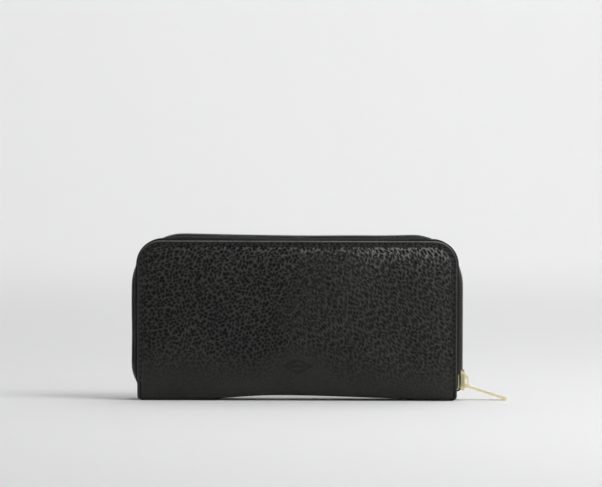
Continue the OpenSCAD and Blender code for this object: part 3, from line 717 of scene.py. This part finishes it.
def lining_wrap(name, back):
    """The lining of one cover, its fold and half the spine, as one cloth sheet."""
    inner_y = LINING_Y + 0.2
    floor_z = (FLOOR_LO[2] + FLOOR_HI[2]) / 2
    turn = 2.4
    path = [(-y, floor_z) for y in (0.02, 2.0, 4.0, 6.0)]
    for angle in np.radians(np.arange(0, 90, 15)):
        path.append((-(inner_y - turn) - turn * math.sin(angle), floor_z + turn - turn * math.cos(angle)))
    path += [(-inner_y, z) for z in np.linspace(floor_z + turn, LINING_TOP, 40)]
    path = np.array(path)
    run = run_length(path)
    down = np.clip(path[:, 1] - (LINING_TOP - LINING_CORNER_R), 0, LINING_CORNER_R)
    half = HALF_W - 1.2 - round_off(down, LINING_CORNER_R, 0.3)
    u = np.sin(np.linspace(-1, 1, 61) * math.pi / 2)
    mid = grid(half[:, None] * u, path[:, :1], path[:, 1:])
    mid[..., 1] += 0.06 * wave_noise(mid[..., 0], run[:, None], 30, 31) * smooth(path[:, 1:] / 20)
    mid[..., 2] += bow(mid[..., 0], mid[..., 2])
    flat = grid(mid[..., 0], run[:, None])
    return thick_sheet(name, on_side(mid, back), 0.36, LINING, flat)


def cover_board(name, node):
    """A cover's stiffener, which follows the lifted foot of the leather."""
    low, high = node_box(node)
    z = np.concatenate([np.linspace(low[2], 20, 16), np.linspace(20, high[2], 40)[1:]])
    down = np.clip(z - (high[2] - BOARD_CORNER_R), 0, BOARD_CORNER_R)
    half = high[0] - round_off(down, BOARD_CORNER_R, 0.3)
    u = np.sin(np.linspace(-1, 1, 41) * math.pi / 2)
    x = half[:, None] * u
    mid = grid(x, (low[1] + high[1]) / 2, z[:, None] + bow(x, z[:, None]))
    flat = grid(mid[..., 0], mid[..., 2])
    return thick_sheet(name, mid, high[1] - low[1], BOARD, flat)


def spine_stiffener(name):
    low, high = node_box("spine_board")
    x = np.linspace(low[0], high[0], 60)
    y = np.linspace(low[1], high[1], 6)
    mid = np.stack(np.meshgrid(x, y, [(low[2] + high[2]) / 2], indexing="ij"), -1)[:, :, 0]
    mid[..., 2] += bow(mid[..., 0], mid[..., 2])
    return thick_sheet(name, mid, high[2] - low[2], BOARD)


# ---- the main zip ----


def arc(centre, radius, start, stop, step):
    """Points and outward directions along an arc, from one angle to another in degrees."""
    count = max(3, int(abs(stop - start) * math.pi / 180 * radius / step))
    a = np.radians(np.linspace(start, stop, count, endpoint=False))
    return np.stack([centre[0] + radius * np.cos(a), centre[1] + radius * np.sin(a), np.cos(a), np.sin(a)], 1)


def leg(x, start, stop, direction, step, upright=True):
    """Points and outward directions along a straight stretch."""
    along = np.linspace(start, stop, max(2, int(abs(stop - start) / step)), endpoint=False)
    same = np.full_like(along, x)
    place = (same, along) if upright else (along, same)
    return np.stack([*place, np.full_like(along, direction[0]), np.full_like(along, direction[1])], 1)


def zip_path(step):
    """The zip's line at the covers' edge, from the lower left round to the lower right.

    Gives points (x, z), outward directions, how far the cover's edge lies outside the line,
    and lengths along it.
    """
    left_r = LEFT_BEND_R - ZIP_PROUD
    near, high = HALF_W - ZIP_CORNER_R, TOP_Z - ZIP_CORNER_R
    parts = [
        arc((-HALF_W + left_r, LEFT_BEND_Z), left_r, 228, 180, step),
        leg(-HALF_W, LEFT_BEND_Z, high, (-1, 0), step),
        arc((-near, high), ZIP_CORNER_R, 180, 90, step),
        leg(TOP_Z, -near, near, (0, 1), step, upright=False),
        arc((near, high), ZIP_CORNER_R, 90, 0, step),
        leg(HALF_W, high, SLIDER_LO[2] - 0.3, (1, 0), step),
    ]
    joined = np.concatenate(parts)
    points, outward = joined[:, :2], joined[:, 2:]
    run = run_length(points)
    gap = np.zeros(len(points))
    c, d = np.abs(outward[:, 0]), np.abs(outward[:, 1])
    bend = (points[:, 0] < 0) & (points[:, 1] < LEFT_BEND_Z)
    gap[bend] = left_r * (1 / c[bend] - 1)
    corner = (points[:, 1] > high) & (c > 1e-6) & (d > 1e-6)
    inset = ZIP_CORNER_R - CORNER_R
    sides = ZIP_CORNER_R / np.maximum(c, d)[corner]
    total = (c + d)[corner] * inset
    rounded = total + np.sqrt(np.maximum(total**2 - 2 * inset**2 + CORNER_R**2, 0))
    off_corner = np.minimum(c, d)[corner] * sides < inset
    gap[corner] = np.where(off_corner, sides, rounded) - ZIP_CORNER_R
    return points, outward, gap, run


def zip_rise(points, outward):
    """How the chain wavers outward of its even line: it lifts at the left shoulder and sags along the top."""
    x, on_top = points[:, 0], smooth((outward[:, 1] - 0.55) / 0.4)
    along_top = 0.25 * bump(x + 66, 15) - 0.8 * bump(x - 6, 46) - 0.35 * bump(x - 52, 16)
    z = points[:, 1]
    on_side = np.where(x < 0, (1 - on_top) * 0.15 * np.sin(z / 7.5), 0)
    return along_top * on_top + on_side * smooth((z - 26) / 12)


def zip_tape(name, back):
    points, outward, gap, run = zip_path(1.4)
    z, right = points[:, 1], points[:, 0] > 0
    section = np.array(
        [
            (-6.0, 11.0), (-3.0, 11.0), (-0.9, 11.0), (0.1, 10.9), (0.7, 10.45), (1.15, 9.7), (1.5, 8.8),
            (1.72, 7.8), (1.88, 6.8), (2.0, 5.9), (2.06, 5.1), (2.1, 4.5), (2.28, 4.15), (2.3, 3.85),
            (2.12, 3.55), (2.1, 3.2), (2.1, 2.4), (2.1, 1.6), (2.1, 0.75),
        ]
    )
    section[:, 0] += (TAPE_N - 2.1) * smooth(section[:, 0] / 2)
    inner_end = np.stack([np.full(len(section), TAPE_N), np.linspace(3.6, 0.75, len(section))], 1)
    under_slider = np.stack([np.minimum(section[:, 0], 0.62), np.maximum(section[:, 1], 4.6)], 1)
    under_slider[:, 1] -= np.linspace(0, 0.3, len(section))
    tucked = np.where(right[:, None, None], under_slider[None], inner_end[None])
    held = np.where(right, smooth((z - 13.5) / 4), smooth((z - 8.6) / 3.5))[:, None]
    right_flare = np.interp(z, [5.5, 7, 18, 28], [-0.6, 0.3, 0.85, 1])
    flare = np.where(right, right_flare, smooth((z - 9) / 8))[:, None]
    outer = smooth((section[:, 1] - 4.6) / 1.2)[None]
    shape_n = section[None, :, 0] * held + tucked[..., 0] * (1 - held)
    shape_y = section[None, :, 1] * held + tucked[..., 1] * (1 - held)
    outer = np.where(right[:, None], np.maximum(outer, 1 - held), outer * held)
    shape_n = shape_n * np.where(shape_n > 0, 1 - outer * (1 - flare), 1)
    shape_n = shape_n + gap[:, None] * smooth((section[:, 1] - 5) / 6)[None] * held
    free = smooth((shape_n - gap[:, None] + 0.5) / 2.5)
    ripple = 0.1 * wave_noise(run[:, None], shape_y, 9, 41 + back)
    ripple = ripple * np.where(right & (z < 72), smooth((z - 68) / 4), 1)[:, None]
    n = shape_n + free * (zip_rise(points, outward)[:, None] + ripple * held)
    mid = grid(points[:, :1] + outward[:, :1] * n, -shape_y, points[:, 1:] + outward[:, 1:] * n)
    across = run_length(section)
    flat = grid(run[:, None], across[None])
    return thick_sheet(name, on_side(mid, back), 0.46, TAPE, flat)


def tape_tail(name, back):
    """The end of the tape below the chain.

    It leaves the slider's slot and turns in to the floor of the wallet.
    """
    x = HALF_W + TAPE_N
    low = SLIDER_LO[2]
    tab_z = (TAIL_LO[2] + TAIL_HI[2]) / 2 if TAIL_HI[2] < 4 else TAIL_LO[2] + 0.3
    knots = np.array(
        [
            (x, low + 11.2), (x, low + 6), (x, low + 0.5), (x - 0.1, low - 0.15), (x - 1.0, low - 0.28),
            (x - 2.6, low - 0.6), (x - 4.6, tab_z + 0.9), (x - 7, tab_z), (TAIL_LO[0], tab_z),
        ]
    )
    at = run_length(knots)
    s = np.linspace(0, at[-1], 60)
    line = relaxed(np.stack([np.interp(s, at, knots[:, i]) for i in range(2)], 1), 4)
    y = np.linspace(3.6, 0.75, 8)
    mid = grid(line[:, :1], -y[None], line[:, 1:])
    flat = grid(s[:, None], y[None])
    return thick_sheet(name, on_side(mid, back), 0.42, TAPE, flat)


def coil_paths(points, outward, run, start, stop, centre_y, centre_n, half_y, half_n, pitch, phase, turns=12):
    """A flattened helix along a line, as one long path of points and directions to lay its tube by."""
    count = int((stop - start) / pitch * turns)
    s = start + np.arange(count) * pitch / turns
    theta = 2 * math.pi * (s / pitch + phase)
    c, d = np.cos(theta), np.sin(theta)
    y = centre_y + half_y * np.sign(c) * np.abs(c) ** 0.75
    n = centre_n + half_n * d
    place = np.stack([np.interp(s, run, points[:, i]) for i in range(2)], 1)
    direction = np.stack([np.interp(s, run, outward[:, i]) for i in range(2)], 1)
    direction /= np.linalg.norm(direction, axis=1, keepdims=True)
    xz = place + direction * n[:, None]
    path = np.stack([xz[:, 0], y, xz[:, 1]], 1)
    up = np.stack([direction[:, 0], np.zeros(count), direction[:, 1]], 1)
    return path, up


def zip_chain(name, back):
    points, outward, _, run = zip_path(1.0)
    lifted = points + outward * zip_rise(points, outward)[:, None]
    right = points[:, 0] > 0
    left_end = run[int(np.argmax(points[:, 1] > 9.3))]
    right_end = run[int(np.argmax(right & (points[:, 1] < 9.6)))]
    middle = ZIP_PROUD - COIL_T / 2
    half_n = COIL_T / 2 - 0.3
    path, up = coil_paths(
        lifted, outward, run, left_end, right_end, -1.15, middle, 1.62, half_n, COIL_PITCH, 0.5 * back
    )
    coil = tubes(name, [on_side(path, back)], 0.34, 0.3, [up], 6, COIL)
    # Painted light and shade: the outer bends, nearest the view, are stored pale and the rest of each loop
    # dark.
    y = np.array([abs(v.co.y) / MM for v in coil.data.vertices])
    add_scalar(coil, "grain_and_light", smooth((y - 1.9) / 0.5))
    return coil


# ---- metal ----


def metal_copy(name, node, width):
    """The CAD shape with its edges rounded, as the plated casting has them."""
    bm = bmesh.new()
    bm.from_mesh(frame["nodes"][node].data)
    bmesh.ops.scale(bm, vec=(1 / MM,) * 3, verts=bm.verts)
    bmesh.ops.remove_doubles(bm, verts=bm.verts, dist=0.002)
    bmesh.ops.dissolve_limit(bm, angle_limit=math.radians(4), verts=bm.verts, edges=bm.edges)
    sharp = [e for e in bm.edges if e.is_manifold and e.calc_face_angle(0) > math.radians(28)]
    bmesh.ops.bevel(
        bm, geom=sharp, offset=width, segments=2, profile=0.6, affect="EDGES", clamp_overlap=True
    )
    bmesh.ops.recalc_face_normals(bm, faces=bm.faces)
    verts = [tuple(v.co) for v in bm.verts]
    bm.verts.index_update()
    faces = [[v.index for v in f.verts] for f in bm.faces]
    bm.free()
    obj = make_mesh(name, verts, faces, GOLD)
    weighted = obj.modifiers.new("weighted", "WEIGHTED_NORMAL")
    weighted.keep_sharp = False
    return obj


# ---- pockets ----


def pocket_panel(name, node, thickness, material, sag, seed, back, hem=3.2, corner=3.0):
    """A flat pocket panel with a turned and stitched top edge that sags between its seams."""
    low, high = node_box(node)
    y_mid = -abs(low[1] + high[1]) / 2
    xs = np.linspace(low[0], high[0], 73)
    body_z = np.linspace(low[2], high[2] - hem - 1.6, 26)
    zs = np.concatenate([body_z, high[2] - hem + np.linspace(-1.1, hem, 16)])
    x, z = np.meshgrid(xs, zs)
    half = high[0]
    top = smooth((z - high[2] + 14) / 14)
    between = np.abs(np.sin(math.pi * x / half))
    z = z - sag * between * top
    aside = np.clip(np.abs(x) - (half - corner), 0, corner)
    z = z - round_off(aside, corner) * smooth((z - high[2] + 6) / 6)
    gap = high[2] - z - sag * between
    roll = thickness * (1 + 0.45 * smooth((hem - gap) / 0.5))
    groove = 0.1 * bump(gap - 1.7, 0.22)
    wave = 0.05 * wave_noise(x, z, 24, seed)
    grain_and_light = np.clip(0.62 + 0.45 * wave_noise(x, z, 1.1, seed + 1), 0, 1)
    mid = grid(x, y_mid + wave, z)
    mid[..., 2] += bow(mid[..., 0], mid[..., 2])
    flat = grid(x, z)
    obj = thick_sheet(name, on_side(mid, back), roll - groove, material, flat)
    rim = np.concatenate([grain_and_light[0, :-1], grain_and_light[:-1, -1], grain_and_light[-1, :0:-1], grain_and_light[:0:-1, 0]])
    add_scalar(obj, "grain_and_light", np.concatenate([grain_and_light.ravel(), grain_and_light.ravel(), rim]))
    return obj


def row_line(points, y_out, back):
    """The stitches along a line of (x, z) points on a pocket's face, at depth y_out."""
    points = np.array(points, float)
    line = np.stack([points[:, 0], np.full(len(points), y_out), points[:, 1]], 1)
    line[:, 2] += bow(line[:, 0], line[:, 2])
    normals = np.tile([0.0, 1.0, 0.0], (len(line), 1))
    line, normals = on_side(line, back), on_side(normals, back)
    return stitch_paths(line, normals, 2.6, 0.81, 0.06, 0.3)


def pocket_stitches(name, side, back):
    paths, ups = [], []
    for k in (1, 2, 3, 4):
        low, high = node_box(f"{side}_card_pocket_{k}")
        face = -min(abs(low[1]), abs(high[1])) + 0.03
        xs = np.linspace(-high[0] + 2.6, high[0] - 2.6, 180)
        rows = [np.stack([xs, high[2] - 1.7 - CARD_SAG * np.abs(np.sin(math.pi * xs / high[0]))], 1)]
        below = node_box(f"{side}_card_pocket_{k + 1}")[1][2] if k < 4 else low[2] + 1
        for x in (-high[0] + 1.8, 0.0, high[0] - 1.8):
            z = np.arange(high[2] - 2.5, below, -1.0)
            rows.append(np.stack([np.full(len(z), x), z], 1))
        for row in rows:
            p, u = row_line(row, face, back)
            paths += p
            ups += u
    return tubes(name, paths, 0.2, 0.16, ups, 5, THREAD)


# ---- side gussets ----


def gusset(name, sign, back):
    """A folded cloth gusset that joins a cover to the coin pocket at one end of the wallet."""
    low, high = node_box("gusset_outer_front_right")
    z = np.linspace(low[2], high[2], 34)
    deep = np.maximum(0.7, 0.275 * (z - 12))
    knots = np.array([0.0, 0.16, 0.24, 0.5, 0.58, 0.82, 1.0])
    s = np.linspace(0, 1, 44)
    mid = np.zeros((len(z), len(s), 3))
    for i, w in enumerate(deep):
        xs = [88.6, 88.55, 88.2, 88.7 - w, 88.7 - w, 87.6, 79.5]
        ys = [10.15, 8.1, 7.65, 6.75, 6.2, 4.5, 3.5]
        for axis, values in ((0, xs), (1, ys)):
            mid[i, :, axis] = relaxed(np.interp(s, knots, values), 3)
    mid[..., 0] += 0.25 * wave_noise(mid[..., 2], s[None] * 40, 22, 53 + back) * np.sin(math.pi * s)
    mid[..., 0] *= sign
    mid[..., 1] *= -1
    mid[..., 2] = z[:, None] + bow(mid[..., 0], z[:, None])
    length = run_length(mid[-1, :, :2])
    flat = grid(length[None], z[:, None])
    return thick_sheet(name, on_side(mid, back), 0.3, LINING, flat)


# ---- coin pocket ----


def coin_wall(name, back):
    node = "coin_pocket_front_wall"
    return pocket_panel(name, node, 0.36, LINING, 0.0, 61, back, hem=4.0, corner=1.0)


def coin_side(name, sign):
    low, high = node_box("coin_pocket_right_side")
    z = np.linspace(low[2], high[2], 30)
    y = np.linspace(low[1], high[1], 15)
    zz, yy = np.meshgrid(z, y, indexing="ij")
    fold = (1 - np.abs(yy) / high[1]) * smooth((zz - 4) / 14)
    x = (low[0] + high[0]) / 2 - 1.6 * fold
    mid = grid(sign * x, yy, zz + bow(x, zz))
    flat = grid(yy, zz)
    return thick_sheet(name, mid, 0.34, LINING, flat)


def coin_tape(name, back):
    outer_y, inner_y = abs(COIN_ZIP_LO[1]) - 0.2, 0.55
    top, foot = COIN_ZIP_HI[2] - 0.2, COIN_ZIP_LO[2]
    section = [(outer_y, z) for z in np.linspace(foot, top - 1.4, 8)]
    for angle in np.radians(np.arange(15, 91, 15)):
        section.append((outer_y - 1.2 + 1.2 * math.cos(angle), top - 1.2 + 1.2 * math.sin(angle)))
    section += [(y, top) for y in np.linspace(outer_y - 1.4, inner_y, 3)]
    section = np.array(section)
    x = np.linspace(COIN_ZIP_LO[0], COIN_ZIP_HI[0], 90)
    height = section[:, 1] + 0.08 * wave_noise(x[:, None], section[:, 1], 14, 71)
    mid = grid(x[:, None], -section[:, 0], height)
    run = run_length(section)
    flat = grid(x[:, None], run[None])
    return thick_sheet(name, on_side(mid, back), 0.36, TAPE, flat)


def coin_chain(name, back):
    x = np.linspace(COIN_COIL_LO[0], COIN_COIL_HI[0], 200)
    points = np.stack([x, np.full_like(x, COIN_COIL_LO[2])], 1)
    outward = np.tile([0.0, 1.0], (len(x), 1))
    middle = (COIN_COIL_HI[2] - COIN_COIL_LO[2]) / 2
    path, up = coil_paths(
        points, outward, x - x[0], 0.0, x[-1] - x[0], -0.8, middle, 0.9, 0.22, 1.2, 0.5 * back, 10
    )
    return tubes(name, [on_side(path, back)], 0.2, 0.2, [up], 6, COIL)


# ---- building ----


def fold_blend(obj):
    """Bakes a front or back piece's placement into its mesh."""
    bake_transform(obj)


def label(obj, slot, *nodes):
    """Hides the CAD nodes that a piece stands for."""
    if nodes:
        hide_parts(*nodes)


def place(obj, body, slot, *nodes):
    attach(obj, body)
    label(obj, slot, *nodes)


for side, back in (("front", False), ("back", True)):
    cover = f"{side}_cover"

    wrap = leather_wrap(f"{side}_leather_wrap", not back, 101 + 50 * back, back)
    fold_blend(wrap)
    label(wrap, "outer_leather", f"{cover}_leather", *([] if back else ["spine_leather"]))

    stitches = cover_stitches(f"{side}_edge_stitches", back)
    place(stitches, cover, "thread", f"{side}_stitching")

    lining = lining_wrap(f"{side}_lining_wrap", back)
    fold_blend(lining)
    label(lining, "lining", f"{cover}_lining", *([] if back else ["spine_lining"]))

    tape = zip_tape(f"{side}_tape", back)
    fold_blend(tape)
    label(tape, "zip_tape", f"{side}_zip_tape", "zip_tail_tape_left")

    tail = tape_tail(f"{side}_tape_tail", back)
    place(tail, "spine", "zip_tape", "zip_tail_tape_right")

    chain = zip_chain(f"{side}_coil", back)
    fold_blend(chain)
    label(chain, "zip_coil", f"{side}_zip_coil", "zip_tail_coil_right" if back else "zip_tail_coil_left")

    node = f"{side}_slip_pocket"
    slip = pocket_panel(f"{side}_slip_panel", node, 0.32, LINING, 0.5, 81 + back, back)
    place(slip, cover, "lining", f"{side}_slip_pocket")

    for k in (1, 2, 3, 4):
        node, name = f"{side}_card_pocket_{k}", f"{side}_card_panel_{k}"
        card = pocket_panel(name, node, 0.3, INNER_LEATHER, CARD_SAG, 90 + k, back)
        place(card, cover, "inner_leather", f"{side}_card_pocket_{k}")
    seams = pocket_stitches(f"{side}_card_seams", side, back)
    place(seams, cover, "thread")

    for end, sign in (("left", -1), ("right", 1)):
        web = gusset(f"gusset_{side}_{end}", sign, back)
        fold_blend(web)
        label(web, "lining", f"gusset_inner_{side}_{end}", f"gusset_outer_{side}_{end}")

    wall = coin_wall(f"coin_{side}_panel", back)
    place(wall, "spine", "lining", f"coin_pocket_{side}_wall")

    edge = coin_tape(f"coin_{side}_tape", back)
    place(edge, "spine", "zip_tape", f"coin_zip_tape_{side}")

    teeth = coin_chain(f"coin_{side}_coil", back)
    place(teeth, "spine", "zip_coil", f"coin_zip_coil_{side}")

stiffener = spine_stiffener("spine_stiffener")
place(stiffener, "spine", "board", "spine_board")

for end, sign in (("left", -1), ("right", 1)):
    side_wall = coin_side(f"coin_{end}_end", sign)
    place(side_wall, "spine", "lining", f"coin_pocket_{end}_side")

METAL = (
    ("zip_slider", "slider_body", "main_slider", 0.28),
    ("zip_pull", "pull_tab", "main_pull", 0.3),
    ("coin_slider_casting", "coin_slider_body", "coin_slider", 0.16),
    ("coin_pull_casting", "coin_pull_tab", "coin_pull", 0.18),
    ("left_end_stop", "zip_stop_left", "spine", 0.15),
    ("right_end_stops", "zip_stops_right", "spine", 0.15),
    ("coin_end_stops", "coin_zip_stops", "spine", 0.12),
)
for name, node, body, width in METAL:
    metal = metal_copy(name, node, width)
    place(metal, body, "gold_metal", node)

for side in ("front", "back"):
    board = cover_board(f"{side}_board", f"{side}_cover_board")
    place(board, f"{side}_cover", "board", f"{side}_cover_board")


# ---- studio ----


def bowl_stage():
    """A pale floor that curves up all round into the backdrop."""
    floor_r, bend_r, wall = 3.2, 1.4, 2.2
    profile = [(r, 0.0) for r in (0.0, 0.3, 0.8, 1.6, floor_r)]
    for angle in np.radians(np.linspace(10, 90, 9)):
        profile.append((floor_r + bend_r * math.sin(angle), bend_r - bend_r * math.cos(angle)))
    profile.append((floor_r + bend_r, bend_r + wall))
    turns = 72
    bm = bmesh.new()
    rings = []
    for radius, z in profile:
        if radius == 0:
            rings.append([bm.verts.new((0, 0, z))])
            continue
        angles = np.linspace(0, 2 * math.pi, turns, endpoint=False)
        rings.append([bm.verts.new((radius * math.cos(a), radius * math.sin(a), z)) for a in angles])
    for a, b in zip(rings[:-1], rings[1:]):
        for k in range(turns):
            j = (k + 1) % turns
            bm.faces.new([a[0], b[k], b[j]] if len(a) == 1 else [a[k], b[k], b[j], a[j]])
    mesh = bpy.data.meshes.new("studio_bowl")
    bm.to_mesh(mesh)
    bm.free()
    mesh.polygons.foreach_set("use_smooth", [True] * len(mesh.polygons))
    obj = add_object("studio_bowl", mesh)
    s = Shader("studio_paper", (0.80, 0.80, 0.80), 0.9, **{"Specular IOR Level": 0.0})
    obj.data.materials.append(s.material)


def area_light(name, place, aim, size, power):
    data = bpy.data.lights.new(name, "AREA")
    data.shape = "RECTANGLE"
    data.size, data.size_y = size
    data.energy = power
    obj = add_object(name, data)
    obj.location = place
    obj.rotation_euler = (Vector(aim) - Vector(place)).to_track_quat("-Z", "Y").to_euler()


bowl_stage()
area_light("key_top_right", (0.86, -0.42, 1.05), (0, 0, 0.06), (0.7, 0.7), 10.2)
area_light("front_soft", (1.3, -1.3, 0.6), (0, 0, 0.06), (1.0, 1.0), 4.9)
area_light("top_soft", (0.6, 0.95, 1.9), (0.3, 0.9, 0), (2.4, 2.4), 22)
area_light("backdrop_wash", (0.6, 2.6, 2.9), (0.6, 4.7, 1.3), (3.0, 1.2), 60)
area_light("left_wash", (-2.6, -0.2, 2.9), (-4.7, -0.2, 1.3), (1.2, 3.0), 35)
area_light("right_wash", (2.6, -0.2, 2.9), (4.7, -0.2, 1.3), (1.2, 3.0), 48)

world = bpy.data.worlds.new("studio_world")
world.use_nodes = True
world.node_tree.nodes["Background"].inputs["Color"].default_value = (0.97, 0.98, 1.0, 1)
world.node_tree.nodes["Background"].inputs["Strength"].default_value = 0.155
bpy.context.scene.world = world
bpy.context.scene.view_settings.view_transform = "Standard"

CAMERA_DISTANCE, CAMERA_ELEVATION, CAMERA_ROLL = 2.2, 1.3, -0.17
CAMERA_TARGET = (0.0019, 0, 0.0917)
FRAME_WIDTH = 0.3537  # what the picture's width takes in at the wallet, in metres
camera_data = bpy.data.cameras.new("camera")
camera_data.sensor_width = 36
camera_data.lens = 36 * CAMERA_DISTANCE / FRAME_WIDTH
camera_data.clip_start, camera_data.clip_end = 0.05, 20
camera = add_object("camera", camera_data)
elevation, roll = math.radians(CAMERA_ELEVATION), math.radians(CAMERA_ROLL)
target = Vector(CAMERA_TARGET)
camera.location = target + CAMERA_DISTANCE * Vector((0, -math.cos(elevation), math.sin(elevation)))
camera.rotation_euler = (math.pi / 2 - elevation, roll, 0)
bpy.context.scene.camera = camera
